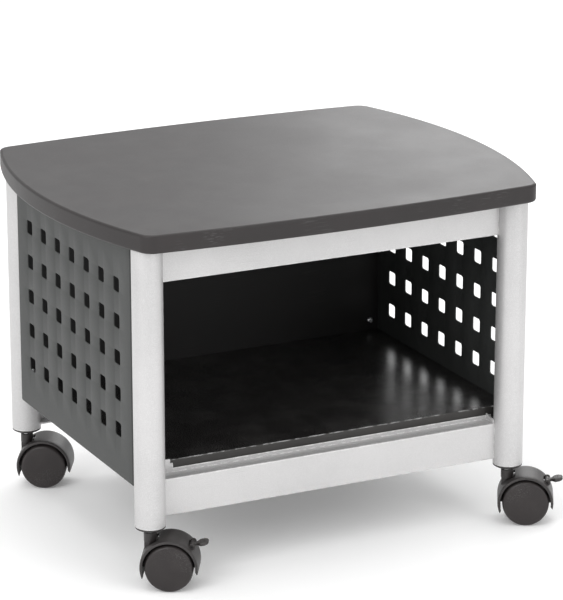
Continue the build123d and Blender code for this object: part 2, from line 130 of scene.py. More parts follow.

# %% [markdown]
# ## Shared surface effects
#
# Real finishes differ from flat paint in small ways: sprayed powder has a faint orange peel,
# moulded plastic a fine pebble, and every used surface has rubbed corners, hairline scratches
# and a little dust. Two groups also paint light: the edge group gives painted highlights along
# sharp folds, and the crease group gives painted shade where faces meet. Each effect is a node
# group with named sockets, built once. A group gives only masks, heights and values, and the
# shader stays in each material.

# %% A small kit for node groups
def new_group(name, inputs, outputs):
    """A shader node group with number inputs {name: value} and the named number outputs."""
    group = bpy.data.node_groups.new(name, "ShaderNodeTree")
    group.interface.new_socket("Vector", in_out="INPUT", socket_type="NodeSocketVector")
    for label, value in inputs.items():
        socket = group.interface.new_socket(label, in_out="INPUT", socket_type="NodeSocketFloat")
        socket.default_value = value
    for label in outputs:
        group.interface.new_socket(label, in_out="OUTPUT", socket_type="NodeSocketFloat")
    return group, group.nodes.new("NodeGroupInput"), group.nodes.new("NodeGroupOutput")


def add(tree, kind, settings=None, **sockets):
    """A node of a kind with its settings made, and each named socket given a value or a link."""
    node = tree.nodes.new(kind)
    for key, value in (settings or {}).items():
        setattr(node, key, value)
    for label, value in sockets.items():
        wire(tree, value, node.inputs[label.replace("_", " ")])
    return node


def wire(tree, value, socket):
    """Link an output to a socket, or set the socket to a plain value."""
    if isinstance(value, bpy.types.NodeSocket):
        tree.links.new(value, socket)
    else:
        socket.default_value = value


def maths(tree, operation, *values, clamp=False):
    """The output of one maths node."""
    node = tree.nodes.new("ShaderNodeMath")
    node.operation = operation
    node.use_clamp = clamp
    for socket, value in zip(node.inputs, values):
        wire(tree, value, socket)
    return node.outputs[0]


def noise(tree, vector, scale, detail=2.0, roughness=0.5):
    """The value output of a noise texture."""
    node = add(tree, "ShaderNodeTexNoise", Vector=vector, Scale=scale, Detail=detail,
               Roughness=roughness)
    return node.outputs[0]


def remap(tree, value, low, high, to_low=0.0, to_high=1.0):
    """A value moved smoothly from one range to another, held at the ends."""
    node = tree.nodes.new("ShaderNodeMapRange")
    node.interpolation_type = "SMOOTHSTEP"
    for socket, number in zip(node.inputs, (value, low, high, to_low, to_high)):
        wire(tree, number, socket)
    return node.outputs[0]


# %% Grain: fine height, cloudy tone and speckle
grain, given, made = new_group("grain", {"Pitch": 900.0, "Cloud": 9.0},
                               ["Height", "Tone", "Speckle"])
fine = noise(grain, given.outputs["Vector"], given.outputs["Pitch"], 3.0, 0.55)
broad_pitch = maths(grain, "MULTIPLY", given.outputs["Pitch"], 0.31)
broad = noise(grain, given.outputs["Vector"], broad_pitch, 1.0)
both = maths(grain, "MULTIPLY_ADD", broad, 0.6, maths(grain, "MULTIPLY", fine, 0.4))
grain.links.new(both, made.inputs["Height"])
cloud = noise(grain, given.outputs["Vector"], given.outputs["Cloud"], 4.0, 0.6)
grain.links.new(remap(grain, cloud, 0.3, 0.7), made.inputs["Tone"])
grain.links.new(remap(grain, fine, 0.42, 0.66), made.inputs["Speckle"])

# %% Scratches: thin broken lines that run three ways
scratches, given, made = new_group("scratches", {"Amount": 0.5}, ["Mask"])
line_length = 26.0
line_width = 1500.0
total = None
for turn in (12.0, 71.0, 133.0):
    slanted = add(scratches, "ShaderNodeMapping", Vector=given.outputs["Vector"],
                  Rotation=(radians(turn), radians(turn * 0.5), radians(turn)),
                  Scale=(line_length, line_width, line_width)).outputs[0]
    line = noise(scratches, slanted, 1.0, 0.0)
    thin = remap(scratches, line, 0.71, 0.76)
    total = thin if total is None else maths(scratches, "MAXIMUM", total, thin)
patch = remap(scratches, noise(scratches, given.outputs["Vector"], 22.0, 2.0), 0.5, 0.68)
shown = maths(scratches, "MULTIPLY", total, patch)
scratches.links.new(maths(scratches, "MULTIPLY", shown, given.outputs["Amount"], clamp=True),
                    made.inputs["Mask"])

# %% Edge wear and painted highlight: where the surface turns sharply, broken up by noise
wear_and_highlight, given, made = new_group("edge_wear_and_highlight", {"Reach": 0.0012, "Amount": 0.5}, ["Mask"])
softened = add(wear_and_highlight, "ShaderNodeBevel", {"samples": 4}, Radius=given.outputs["Reach"])
true_normal = wear_and_highlight.nodes.new("ShaderNodeNewGeometry").outputs["Normal"]
agree = wear_and_highlight.nodes.new("ShaderNodeVectorMath")
agree.operation = "DOT_PRODUCT"
wear_and_highlight.links.new(softened.outputs[0], agree.inputs[0])
wear_and_highlight.links.new(true_normal, agree.inputs[1])
turned_away = remap(wear_and_highlight, agree.outputs["Value"], 0.995, 0.93)
broken = remap(wear_and_highlight, noise(wear_and_highlight, given.outputs["Vector"], 160.0, 3.0), 0.38, 0.62)
wear_and_highlight_mask = maths(wear_and_highlight, "MULTIPLY", turned_away, broken)
wear_and_highlight.links.new(maths(wear_and_highlight, "MULTIPLY", wear_and_highlight_mask, given.outputs["Amount"], clamp=True),
                 made.inputs["Mask"])

# %% Crease shade: painted shade that darkens the colour by ambient occlusion where two faces meet
crease_shading, given, made = new_group("crease_shading", {"Reach": 0.002, "Amount": 0.5}, ["Mask"])
hidden = add(crease_shading, "ShaderNodeAmbientOcclusion", {"samples": 4},
             Distance=given.outputs["Reach"])
shut_in = remap(crease_shading, hidden.outputs["AO"], 0.75, 0.25)
blotchy = remap(crease_shading, noise(crease_shading, given.outputs["Vector"], 90.0, 3.0), 0.2, 0.6, 0.6, 1.0)
painted_shade = maths(crease_shading, "MULTIPLY", shut_in, blotchy)
crease_shading.links.new(maths(crease_shading, "MULTIPLY", painted_shade, given.outputs["Amount"], clamp=True),
                  made.inputs["Mask"])

# %% Dust: a thin uneven film on faces that look up
dust, given, made = new_group("dust", {"Amount": 0.2}, ["Mask"])
level = dust.nodes.new("ShaderNodeSeparateXYZ")
dust.links.new(dust.nodes.new("ShaderNodeNewGeometry").outputs["Normal"], level.inputs[0])
facing_up = remap(dust, level.outputs["Z"], 0.35, 1.0)
uneven = remap(dust, noise(dust, given.outputs["Vector"], 34.0, 5.0, 0.62), 0.35, 0.75, 0.25, 1.0)
film = maths(dust, "MULTIPLY", facing_up, uneven)
dust.links.new(maths(dust, "MULTIPLY", film, given.outputs["Amount"], clamp=True),
               made.inputs["Mask"])
print("effects:", ", ".join(g.name for g in bpy.data.node_groups))


# %% [markdown]
# ## Finishes
#
# Every finish here is one recipe with its own numbers: a base colour that drifts between two
# close tones, a fine grain for the bump, then worn edges with painted highlights, scratches,
# dust and painted crease shade laid over it.
# One function writes the recipe, so the finishes stay comparable and a change reaches them all.

# %% The recipe
def finish(name, dark, light, roughness, metallic=0.0, specular=0.5, pitch=900.0,
           bump=0.00004, cloud=9.0, speckle=0.0, wear_and_highlight_amount=0.3, wear_and_highlight_colour=(0.5, 0.5, 0.5),
           scratch=0.3, dusty=0.1, ior=1.5, crease_shade=0.4, glow=0.0, reach=0.0012):
    """A finish: colour from two tones and speckle, roughness from grain, wear, dust, painted edge
    highlights and painted crease shade.
    """
    material = bpy.data.materials.new(name)
    tree = node_tree(material)
    where = tree.nodes.new("ShaderNodeTexCoord").outputs["Object"]

    def effect(group, **sockets):
        node = tree.nodes.new("ShaderNodeGroup")
        node.node_tree = group
        wire(tree, where, node.inputs["Vector"])
        for label, value in sockets.items():
            wire(tree, value, node.inputs[label])
        return node.outputs

    def over(below, mask, colour):
        node = add(tree, "ShaderNodeMix", {"data_type": "RGBA"})
        wire(tree, mask, node.inputs["Factor"])
        wire(tree, below, node.inputs[6])
        wire(tree, colour, node.inputs[7])
        return node.outputs[2]

    surface = effect(grain, Pitch=pitch, Cloud=cloud)
    colour = over((*dark, 1.0), surface["Tone"], (*light, 1.0))
    if speckle:
        flecks = maths(tree, "MULTIPLY", surface["Speckle"], speckle)
        colour = over(colour, flecks, tuple(min(1.0, c * 1.8 + 0.01) for c in light) + (1.0,))
    # worn edges, and where the edge colour is bright, a painted highlight along the folds
    wear_and_highlight_mask = effect(wear_and_highlight, Reach=reach, Amount=wear_and_highlight_amount)["Mask"]
    lines = effect(scratches, Amount=scratch)["Mask"]
    film = effect(dust, Amount=dusty)["Mask"]
    colour = over(colour, wear_and_highlight_mask, (*wear_and_highlight_colour, 1.0))
    colour = over(colour, lines, tuple(c * 0.5 + 0.12 for c in light) + (1.0,))
    colour = over(colour, film, (0.42, 0.41, 0.39, 1.0))
    # painted shade: the colour darkens towards a third of the dark tone where faces meet
    if crease_shade:
        painted_shade = effect(crease_shading, Amount=crease_shade)["Mask"]
        colour = over(colour, painted_shade, tuple(c * 0.35 for c in dark) + (1.0,))

    rough = maths(tree, "MULTIPLY_ADD", surface["Speckle"], 0.07, roughness - 0.03)
    rough = maths(tree, "MULTIPLY_ADD", surface["Tone"], 0.05, rough)
    rough = maths(tree, "MULTIPLY_ADD", film, 0.5, rough)
    rough = maths(tree, "MULTIPLY_ADD", lines, -0.1, rough, clamp=True)
    height = maths(tree, "MULTIPLY_ADD", lines, -0.4, surface["Height"])
    relief = add(tree, "ShaderNodeBump", Distance=bump, Height=height)

    shader = tree.nodes.new("ShaderNodeBsdfPrincipled")
    wire(tree, colour, shader.inputs["Base Color"])
    wire(tree, rough, shader.inputs["Roughness"])
    wire(tree, relief.outputs[0], shader.inputs["Normal"])
    shader.inputs["Metallic"].default_value = metallic
    shader.inputs["Specular IOR Level"].default_value = specular
    shader.inputs["IOR"].default_value = ior
    shader.inputs["Emission Color"].default_value = (1.0, 1.0, 1.0, 1.0)
    shader.inputs["Emission Strength"].default_value = glow
    out = tree.nodes.new("ShaderNodeOutputMaterial")
    wire(tree, shader.outputs[0], out.inputs["Surface"])
    return material


# %% Mix the finishes
recipes = {
    "charcoal_laminate": dict(
        dark=(0.016, 0.014, 0.0145), light=(0.024, 0.021, 0.0215), roughness=0.38, specular=0.36,
        ior=1.55, pitch=1100.0, bump=0.00007, speckle=0.42, wear_and_highlight_amount=0.0, scratch=0.1, dusty=0.05,
        crease_shade=0.0),
    # its lighter edge colour paints a highlight line along the band's arris
    "charcoal_edge_band": dict(
        dark=(0.017, 0.0145, 0.0145), light=(0.024, 0.020, 0.020), roughness=0.46, specular=0.4,
        pitch=1500.0, bump=0.00003, wear_and_highlight_amount=0.45, wear_and_highlight_colour=(0.12, 0.11, 0.11), scratch=0.3,
        dusty=0.03, crease_shade=0.0),
    # its near-white edge colour paints highlights along the folds of the rails and legs
    "silver_powder_coat": dict(
        dark=(0.50, 0.495, 0.495), light=(0.56, 0.553, 0.553), roughness=0.42, metallic=0.5,
        pitch=1300.0, bump=0.00004, speckle=0.18, wear_and_highlight_amount=1.0, wear_and_highlight_colour=(0.97, 0.97, 0.96),
        reach=0.0018,
        scratch=0.25, dusty=0.03, crease_shade=0.25),
    "grey_powder_coat": dict(
        dark=(0.030, 0.032, 0.031), light=(0.038, 0.040, 0.039), roughness=0.5, specular=0.36,
        pitch=1200.0, bump=0.00006, speckle=0.12, wear_and_highlight_amount=0.3, wear_and_highlight_colour=(0.16, 0.17, 0.16),
        scratch=0.15, dusty=0.06),
    "black_powder_coat": dict(
        dark=(0.006, 0.0055, 0.0055), light=(0.010, 0.009, 0.009), roughness=0.55, specular=0.35,
        pitch=1200.0, bump=0.00006, speckle=0.08, wear_and_highlight_amount=0.2, wear_and_highlight_colour=(0.06, 0.06, 0.06),
        scratch=0.08, dusty=0.05),
    "black_laminate": dict(
        dark=(0.010, 0.009, 0.009), light=(0.015, 0.014, 0.014), roughness=0.24, ior=1.52,
        pitch=1000.0, bump=0.00003, speckle=0.06, wear_and_highlight_amount=0.0, scratch=0.35, dusty=0.05, crease_shade=0.0),
    # its pale edge colour paints a highlight along the edging's top arris
    "black_edging": dict(
        dark=(0.020, 0.018, 0.017), light=(0.028, 0.026, 0.024), roughness=0.4,
        pitch=1500.0, bump=0.00003, wear_and_highlight_amount=1.0, wear_and_highlight_colour=(0.55, 0.55, 0.55), reach=0.0016,
        scratch=0.2,
        dusty=0.04),
    "black_nylon": dict(
        dark=(0.017, 0.0145, 0.0145), light=(0.025, 0.0215, 0.021), roughness=0.40,
        pitch=1600.0, bump=0.00006, speckle=0.16, wear_and_highlight_amount=0.45, wear_and_highlight_colour=(0.09, 0.085, 0.08),
        scratch=0.3, dusty=0.06, cloud=30.0, crease_shade=0.6),
    # its lighter edge colour paints a highlight crescent on each wheel's shoulder
    "black_wheel": dict(
        dark=(0.015, 0.0115, 0.0115), light=(0.023, 0.0185, 0.018), roughness=0.36, specular=0.42,
        pitch=1500.0, bump=0.00004, speckle=0.1, wear_and_highlight_amount=0.85, wear_and_highlight_colour=(0.17, 0.16, 0.16),
        reach=0.0018, scratch=0.4, dusty=0.05, cloud=30.0),
    "zinc_plated_steel": dict(
        dark=(0.62, 0.63, 0.65), light=(0.72, 0.72, 0.72), roughness=0.28, metallic=1.0,
        pitch=2500.0, bump=0.00002, speckle=0.2, wear_and_highlight_amount=0.0, scratch=0.4, dusty=0.04,
        cloud=60.0),
}
finishes = {name: finish(name, **recipe) for name, recipe in recipes.items()}
floor_finish = finish(
    "pale_floor", (0.93, 0.93, 0.93), (0.95, 0.95, 0.95), 0.8, pitch=300.0, bump=0.0001,
    cloud=0.7, wear_and_highlight_amount=0.0, scratch=0.0, dusty=0.0, specular=0.2, crease_shade=0.0, glow=0.10)
print("finishes:", ", ".join(finishes))

# %% [markdown]
# ## Parts that keep their engineering shape
#
# The boards, rails and panels are already right, down to their folded edges, so they only get a
# finish. A finish goes into the slots that a part already has, and its mesh isn't touched.

# %% Give the kept parts their finishes
corners = ("fl", "fr", "rl", "rr")
braked = ("fl", "fr")
wearing = {
    "charcoal_laminate": ["top_board"],
    "charcoal_edge_band": ["top_edge_band"],
    "silver_powder_coat": ["apron_front", "apron_rear", "lower_rail_front", "lower_rail_rear"]
    + [f"leg_{c}" for c in corners],
    "grey_powder_coat": ["side_panel_left", "side_panel_right"],
    "black_powder_coat": ["back_panel"] + [f"lever_pin_{c}" for c in braked],
    "black_laminate": ["shelf_board"],
    "black_edging": ["shelf_edging"],
    "black_nylon": [f"{part}_{c}" for part in ("hood", "socket") for c in corners]
    + [f"lever_{c}" for c in braked],
    "black_wheel": [f"wheel_{c}_{side}" for c in corners for side in "ab"],
    "zinc_plated_steel": ["top_screws", "front_panel_screws", "rear_panel_screws",
                          "shelf_screws"]
    + [f"{part}_{c}" for part in ("stem", "axle") for c in corners],
}
for finish_name, parts in wearing.items():
    for part in parts:
        for material_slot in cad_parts[part].material_slots:
            material_slot.material = finishes[finish_name]
print("parts with a finish:", sum(len(parts) for parts in wearing.values()))

# %% [markdown]
# ## Surfaces from numbers
#
# The turned and moulded pieces are surfaces of two parameters: points on a grid, worked out as
# whole arrays. Blender then only needs the points and the faces that join neighbours. This keeps
# a piece's shape in one formula, which is easier to change than a pile of hand-placed points.

# %% Put a grid of points into a mesh
def to_piece(name, points, faces, body, finish_name, stands_for=()):
    """A piece made from points and faces, given its finish and the body it moves with."""
    mesh = bpy.data.meshes.new(name)
    mesh.from_pydata(points.tolist(), [], faces)
    mesh.update()
    mesh.polygons.foreach_set("use_smooth", np.ones(len(mesh.polygons), bool))
    mesh.materials.append(finishes[finish_name])
    piece = bpy.data.objects.new(name, mesh)
    bpy.context.scene.collection.objects.link(piece)
    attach(piece, body)
    if stands_for:
        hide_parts(*stands_for)
    return piece


def grid_faces(rows, columns, wrap_rows=False, wrap_columns=False):
    """Quads that join each point of a rows by columns grid to its next row and column."""
    r = np.arange(rows if wrap_rows else rows - 1)[:, None]
    c = np.arange(columns if wrap_columns else columns - 1)[None, :]
    r2, c2 = (r + 1) % rows, (c + 1) % columns
    quads = np.stack([r * columns + c, r * columns + c2, r2 * columns + c2, r2 * columns + c], -1)
    return quads.reshape(-1, 4).tolist()


def turned(profile, centre, axis, steps=96):
    """A turned shape: each (radius, height) of the profile goes once round the axis.

    A point is centre + height * axis + radius * (cos t * side + sin t * other side), with t in
    even steps. A profile that starts and ends on the axis closes there with a fan. Any other
    profile is taken as a closed ring.
    """
    axis = np.array(Vector(axis).normalized())
    side = np.array(Vector(axis).orthogonal().normalized())
    other = np.cross(axis, side)
    profile = np.asarray(profile, float)
    poles = profile[0, 0] < 1e-9 and profile[-1, 0] < 1e-9
    rings = profile[1:-1] if poles else profile
    t = np.linspace(0.0, 2 * np.pi, steps, endpoint=False)
    round_it = np.cos(t)[:, None] * side + np.sin(t)[:, None] * other
    points = (np.array(centre) + rings[:, None, 1:] * axis
              + rings[:, None, :1] * round_it[None]).reshape(-1, 3)
    faces = grid_faces(len(rings), steps, wrap_rows=not poles, wrap_columns=True)
    if poles:
        ends = np.array(centre) + profile[[0, -1], 1][:, None] * axis
        points = np.vstack([points, ends])
        k = np.arange(steps)
        last = (len(rings) - 1) * steps
        faces += np.stack([np.full(steps, len(points) - 2), (k + 1) % steps, k], -1).tolist()
        faces += np.stack([np.full(steps, len(points) - 1), last + k,
                           last + (k + 1) % steps], -1).tolist()
    return points, faces


def rounded(path, radii, steps=6):
    """A profile whose inner corners are rounded by quadratic curves that start radii away."""
    path = np.asarray(path, float)
    out = [path[:1]]
    s = np.linspace(0.0, 1.0, steps)[:, None]
    for before, corner, after, reach in zip(path[:-2], path[1:-1], path[2:], radii):
        if reach <= 0:
            out.append(corner[None])
            continue
        a = corner + (before - corner) / np.linalg.norm(before - corner) * reach
        b = corner + (after - corner) / np.linalg.norm(after - corner) * reach
        out.append((1 - s) ** 2 * a + 2 * s * (1 - s) * corner + s**2 * b)
    out.append(path[-1:])
    return np.vstack(out)


# %% [markdown]
# ## Wheels
#
# Each caster rolls on two moulded nylon wheels with closed outer faces. A wheel is a turned
# shape, so its half-section carries all its detail: a tread with rounded shoulders, a slightly
# crowned cover, and the hollow of the inner side round its hub.

# %% Turn the eight wheels
wheel_radius, wheel_inner, wheel_outer, crown_fall = 25.0, 3.9, 21.5, 0.9


def middle(node):
    """The centre of a part's box."""
    low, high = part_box(node)
    return (low + high) / 2


def wheel_profile(radius, inner, outer, hub=7.5):
    """The wheel's half-section: (distance from the axle, distance from the caster's middle).

    The cover's crown falls away from its middle to the shoulder by a square law.
    """
    reach = np.linspace(0.0, radius - 2.2, 12)
    crown = np.column_stack([reach, outer - crown_fall * (reach / reach[-1]) ** 2])
    path = [
        (radius - 0.9, outer - 1.7), (radius, outer - 4.4), (radius, inner + 1.2),
        (radius - 1.1, inner + 0.1), (radius - 4.6, inner + 0.1), (radius - 5.2, inner + 3.2),
        (hub + 1.0, inner + 3.2), (hub + 0.2, inner), (0.0, inner),
    ]
    radii = [0.9, 1.4, 0.7, 0.7, 0.5, 0.8, 0.8, 0.4]
    return np.vstack([crown, rounded([tuple(crown[-1])] + path, radii, 7)[1:]]) * mm


for c in corners:
    caster_middle = (middle(f"wheel_{c}_a") + middle(f"wheel_{c}_b")) / 2
    for side in "ab":
        away = (middle(f"wheel_{c}_{side}") - caster_middle).normalized()
        points, faces = turned(wheel_profile(wheel_radius, wheel_inner, wheel_outer),
                               caster_middle, away, 128)
        to_piece(f"rolling_wheel_{c}_{side}", points, faces, f"wheel_{c}_{side}", "black_wheel",
                 [f"wheel_{c}_{side}"])
print("wheels:", len(corners) * 2, "of", len(faces), "faces")

# %% [markdown]
# ## Shells, plates and soft edges
#
# A moulded hood and a folded panel are sheets: an outer skin and an inner skin on the same grid,
# with some cells left open and a wall round every opening. The boundary walls come from counting:
# an edge that only one kept cell uses is on the boundary. A Bevel modifier then breaks the sharp
# edges, as a mould or a press does, and its result is read back so that shells can be gathered
# into one piece.

# %% Sheets with openings, extruded plates, and rounding
def sheet_between(outer, inner, kept):
    """A closed sheet between two skins (rows, columns, 3), where kept tells which cells are solid.

    Each kept cell is a quad on both skins. A directed edge of a kept cell whose reverse isn't in
    another kept cell lies on a boundary, and gets a wall quad from skin to skin.
    """
    rows, columns = outer.shape[:2]
    r, c = np.nonzero(kept)
    at = r * columns + c
    quads = np.stack([at, at + 1, at + columns + 1, at + columns], -1)
    edges = np.stack([quads, np.roll(quads, -1, 1)], -1).reshape(-1, 2)
    codes = edges[:, 0] * rows * columns + edges[:, 1]
    reverse = edges[:, 1] * rows * columns + edges[:, 0]
    rim = edges[~np.isin(codes, reverse)]
    count = rows * columns
    walls = np.stack([rim[:, 1], rim[:, 0], rim[:, 0] + count, rim[:, 1] + count], -1)
    faces = np.vstack([quads, quads[:, ::-1] + count, walls])
    points = np.vstack([outer.reshape(-1, 3), inner.reshape(-1, 3)])
    used, new = np.unique(faces, return_inverse=True)
    return points[used], new.reshape(faces.shape).tolist()


def plate(outline, low, high):
    """A flat plate: an outline in the first two coordinates, carried straight from low to high."""
    outline = np.asarray(outline, float)
    n = len(outline)
    k = np.arange(n)
    bottom = np.column_stack([outline, np.full(n, low)])
    top = np.column_stack([outline, np.full(n, high)])
    faces = np.stack([k, (k + 1) % n, (k + 1) % n + n, k + n], -1).tolist()
    return np.vstack([bottom, top]), faces + [k[::-1].tolist(), (k + n).tolist()]


def volume(points, faces):
    """Signed volume: the sum over each face's fan triangles of a . (b x c) / 6."""
    triangles = [(f[0], f[i], f[i + 1]) for f in faces for i in range(1, len(f) - 1)]
    a, b, c = (points[np.array(triangles)[:, i]] for i in range(3))
    return float(np.einsum("ij,ij->i", a, np.cross(b, c)).sum() / 6)


def outward(shell):
    """The shell with its faces pointing out, whichever way it was wound."""
    points, faces = shell
    if volume(points - points.mean(0), faces) < 0:
        faces = [f[::-1] for f in faces]
    return points, faces


def gather(shells):
    """Several closed shells as one set of points and faces."""
    points, faces, start = [], [], 0
    for shell_points, shell_faces in shells:
        points.append(shell_points)
        faces += [[i + start for i in f] for f in shell_faces]
        start += len(shell_points)
    return np.vstack(points), faces


def eased(shell, width, segments=2, angle=35.0):
    """The shell after a Bevel modifier has rounded every edge sharper than the angle."""
    points, faces = outward(shell)
    mesh = bpy.data.meshes.new("eased")
    mesh.from_pydata(points.tolist(), [], faces)
    holder = bpy.data.objects.new("eased", mesh)
    bpy.context.scene.collection.objects.link(holder)
    bevel = holder.modifiers.new("edges", "BEVEL")
    bevel.width = width
    bevel.segments = segments
    bevel.limit_method = "ANGLE"
    bevel.angle_limit = radians(angle)
    made = bpy.data.meshes.new_from_object(
        holder.evaluated_get(bpy.context.evaluated_depsgraph_get()))
    co = np.zeros(len(made.vertices) * 3)
    made.vertices.foreach_get("co", co)
    new_faces = [list(p.vertices) for p in made.polygons]
    bpy.data.objects.remove(holder)
    bpy.data.meshes.remove(mesh)
    bpy.data.meshes.remove(made)
    return co.reshape(-1, 3), new_faces


def placed(shell, origin, x_axis, y_axis, z_axis):
    """A shell moved from its own axes to the stand's, with its faces still pointing out."""
    points, faces = shell
    axes = np.array([x_axis, y_axis, z_axis], float)
    return outward((np.array(origin) + points @ axes, faces))


# %% [markdown]
# ## Legs, sockets and stems
#
# The legs are round tube, so they are turned too: a ring-shaped profile gives a real wall, and
# its lower rim is broken slightly, as a saw-cut tube is before it is coated. A plastic socket
# closes each tube and holds the caster's plated stem, whose collar shows as a bright glint in
# the gap above the caster.

# %% Turn the legs, sockets and stems
leg_outer, leg_bore = 15.875, 14.375
cap_under, cap_flat, tube_low, plug_top, bore_top = 61.5, 12.6, 65.0, 95.0, 92.0
stem_low, collar_low, collar_high, stem_high = 50.5, 58.5, 61.2, 90.0
stem_bore, stem, collar, ring_groove = 4.05, 4.0, 5.7, 3.3
tube_start = 200.0
for c in corners:
    leg_low, leg_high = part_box(f"leg_{c}")
    foot = np.array([(leg_low.x + leg_high.x) / 2, (leg_low.y + leg_high.y) / 2, 0.0])
    top_z = leg_high.z / mm
    tube = rounded([(leg_outer, tube_start), (leg_outer, tube_low), (leg_bore, tube_low),
                    (leg_bore, top_z), (leg_outer, top_z), (leg_outer, tube_start)],
                   [0.5, 0.4, 0.05, 0.05], 4)[:-1]
    points, faces = outward(turned(tube * mm, foot, (0, 0, 1), 112))
    to_piece(f"tube_leg_{c}", points, faces, "stand", "silver_powder_coat", [f"leg_{c}"])

    cap_rim = leg_outer - 0.1
    cap = rounded([(0, bore_top), (stem_bore, bore_top), (stem_bore, cap_under + 0.9),
                   (5.2, cap_under), (cap_flat, cap_under), (cap_rim, tube_low - 1.5),
                   (cap_rim, tube_low),
                   (leg_bore, tube_low), (leg_bore, plug_top), (0, plug_top)],
                  [0.1, 0.4, 0.5, 1.2, 0.5, 0.1, 0.1, 0.6], 5)
    points, faces = outward(turned(cap * mm, foot, (0, 0, 1), 96))
    to_piece(f"leg_socket_{c}", points, faces, "stand", "black_nylon", [f"socket_{c}"])

    pin = rounded([(0, stem_low), (stem, stem_low), (stem, collar_low), (collar, collar_low),
                   (collar, collar_high), (stem, collar_high), (stem, 84.0),
                   (ring_groove, 84.6), (ring_groove, 86.4), (stem, 87.0),
                   (stem, stem_high - 1), (3, stem_high), (0, stem_high)],
                  [0.4, 0.1, 0.35, 0.35, 0.1, 0.1, 0.1, 0.1, 0.1, 0.3, 0.3], 4)
    points, faces = outward(turned(pin * mm, foot, (0, 0, 1), 64))
    to_piece(f"swivel_stem_{c}", points, faces, f"caster_{c}", "zinc_plated_steel",
             [f"stem_{c}"])
print("turned: legs, sockets and stems")

# %% [markdown]
# ## Caster hoods
#
# A hood is one moulding: a curved shell over both wheels, a web between them, and a boss that
# takes the stem. The shell's two skins run over different angles, which draws its lower ends out
# to points. It opens round the boss and, on the front casters, for the brake lever.

# %% The hood's curved shell
hood_outer, hood_inner, hood_half, web_half = 30.0, 27.4, 19.5, 3.2
low_ends = (-12.0, -6.5)
high_ends = (203.5, 198.0)
boss_from, boss_to, boss_opening = (112.85, 115.2), (132.8, 126.6), 10.5
pin_distance, pin_angle = 31.0, 42.0
lever_opening, lever_opening_inside, lever_slot = 7.67, 4.25, 6.5
shoulder_from, shoulder_fall = 15.0, 0.5


def caster_axes(corner):
    """The axle's centre, and unit vectors along the trail and along the axle."""
    low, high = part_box(f"leg_{corner}")
    axle = (middle(f"wheel_{corner}_a") + middle(f"wheel_{corner}_b")) / 2
    stem_middle = (low + high) / 2
    trail = Vector((axle.x - stem_middle.x, axle.y - stem_middle.y, 0)).normalized()
    return np.array(axle), np.array(trail), np.array((trail.y, -trail.x, 0.0))


def hood_shell(has_brake):
    """The curved shell: radius times (cos a, sin a) round the axle, and straight across it.

    Each mark is an angle in degrees on the outer skin and its partner on the inner skin.
    """
    marks = [low_ends, boss_from, boss_to, high_ends]
    if has_brake:
        marks[1:1] = [(pin_angle + k * lever_opening, pin_angle + k * lever_opening_inside)
                      for k in (-1, 1)]
    marks = np.array(marks)
    stops = [np.linspace(a, b, max(2, int((b[0] - a[0]) / 3.0)), endpoint=False)
             for a, b in zip(marks[:-1], marks[1:])]
    angles = np.radians(np.vstack(stops + [marks[-1:]]))
    wide = np.array([0, web_half, lever_slot, 8.5, boss_opening, 13.5, 16.5, hood_half])
    wide = np.concatenate([-wide[:0:-1], wide])

    def skin(radius, angle):
        a, w = np.meshgrid(angle, wide, indexing="ij")
        out = np.clip((np.abs(w) - shoulder_from) / (hood_half - shoulder_from), 0, 1)
        bulge = radius - shoulder_fall * out ** 2
        return np.stack([bulge * np.cos(a), w, bulge * np.sin(a)], -1)

    outer, inner = skin(hood_outer, angles[:, 0]), skin(hood_inner, angles[:, 1])
    a = np.degrees((angles[:-1, 0] + angles[1:, 0]) / 2)[:, None]
    w = np.abs((wide[:-1] + wide[1:]) / 2)[None, :]
    open_boss = (a > boss_from[0]) & (a < boss_to[0]) & (w < boss_opening)
    open_lever = (np.abs(a - pin_angle) < lever_opening) & (w < lever_slot) & has_brake
    return eased(sheet_between(outer, inner, ~(open_boss | open_lever)), 0.9, 3)


# %% The web inside a hood
web_reach, web_hub, lever_room = 28.7, 8.0, 4.2


def web_shell(has_brake):
    """The web between the wheels: a disc's upper part, with the hub's curve below it.

    Round the lever's pin the outline keeps clear by pushing near points out to a circle.
    """
    a = np.radians(np.linspace(-8.0, 188.0, 80))
    rim = web_reach * np.column_stack([np.cos(a), np.sin(a)])
    if has_brake:
        pin = pin_distance * np.array([cos(radians(pin_angle)), sin(radians(pin_angle))])
        off = rim - pin
        near = np.linalg.norm(off, axis=1) < lever_room
        rim[near] = pin + off[near] / np.linalg.norm(off[near], axis=1)[:, None] * lever_room
    h = np.radians(np.linspace(210.0, 330.0, 24))
    hub = web_hub * np.column_stack([np.cos(h), np.sin(h)])
    points, faces = eased(plate(np.vstack([rim, hub]), -web_half, web_half), 0.25, 2)
    return points[:, [0, 2, 1]], faces


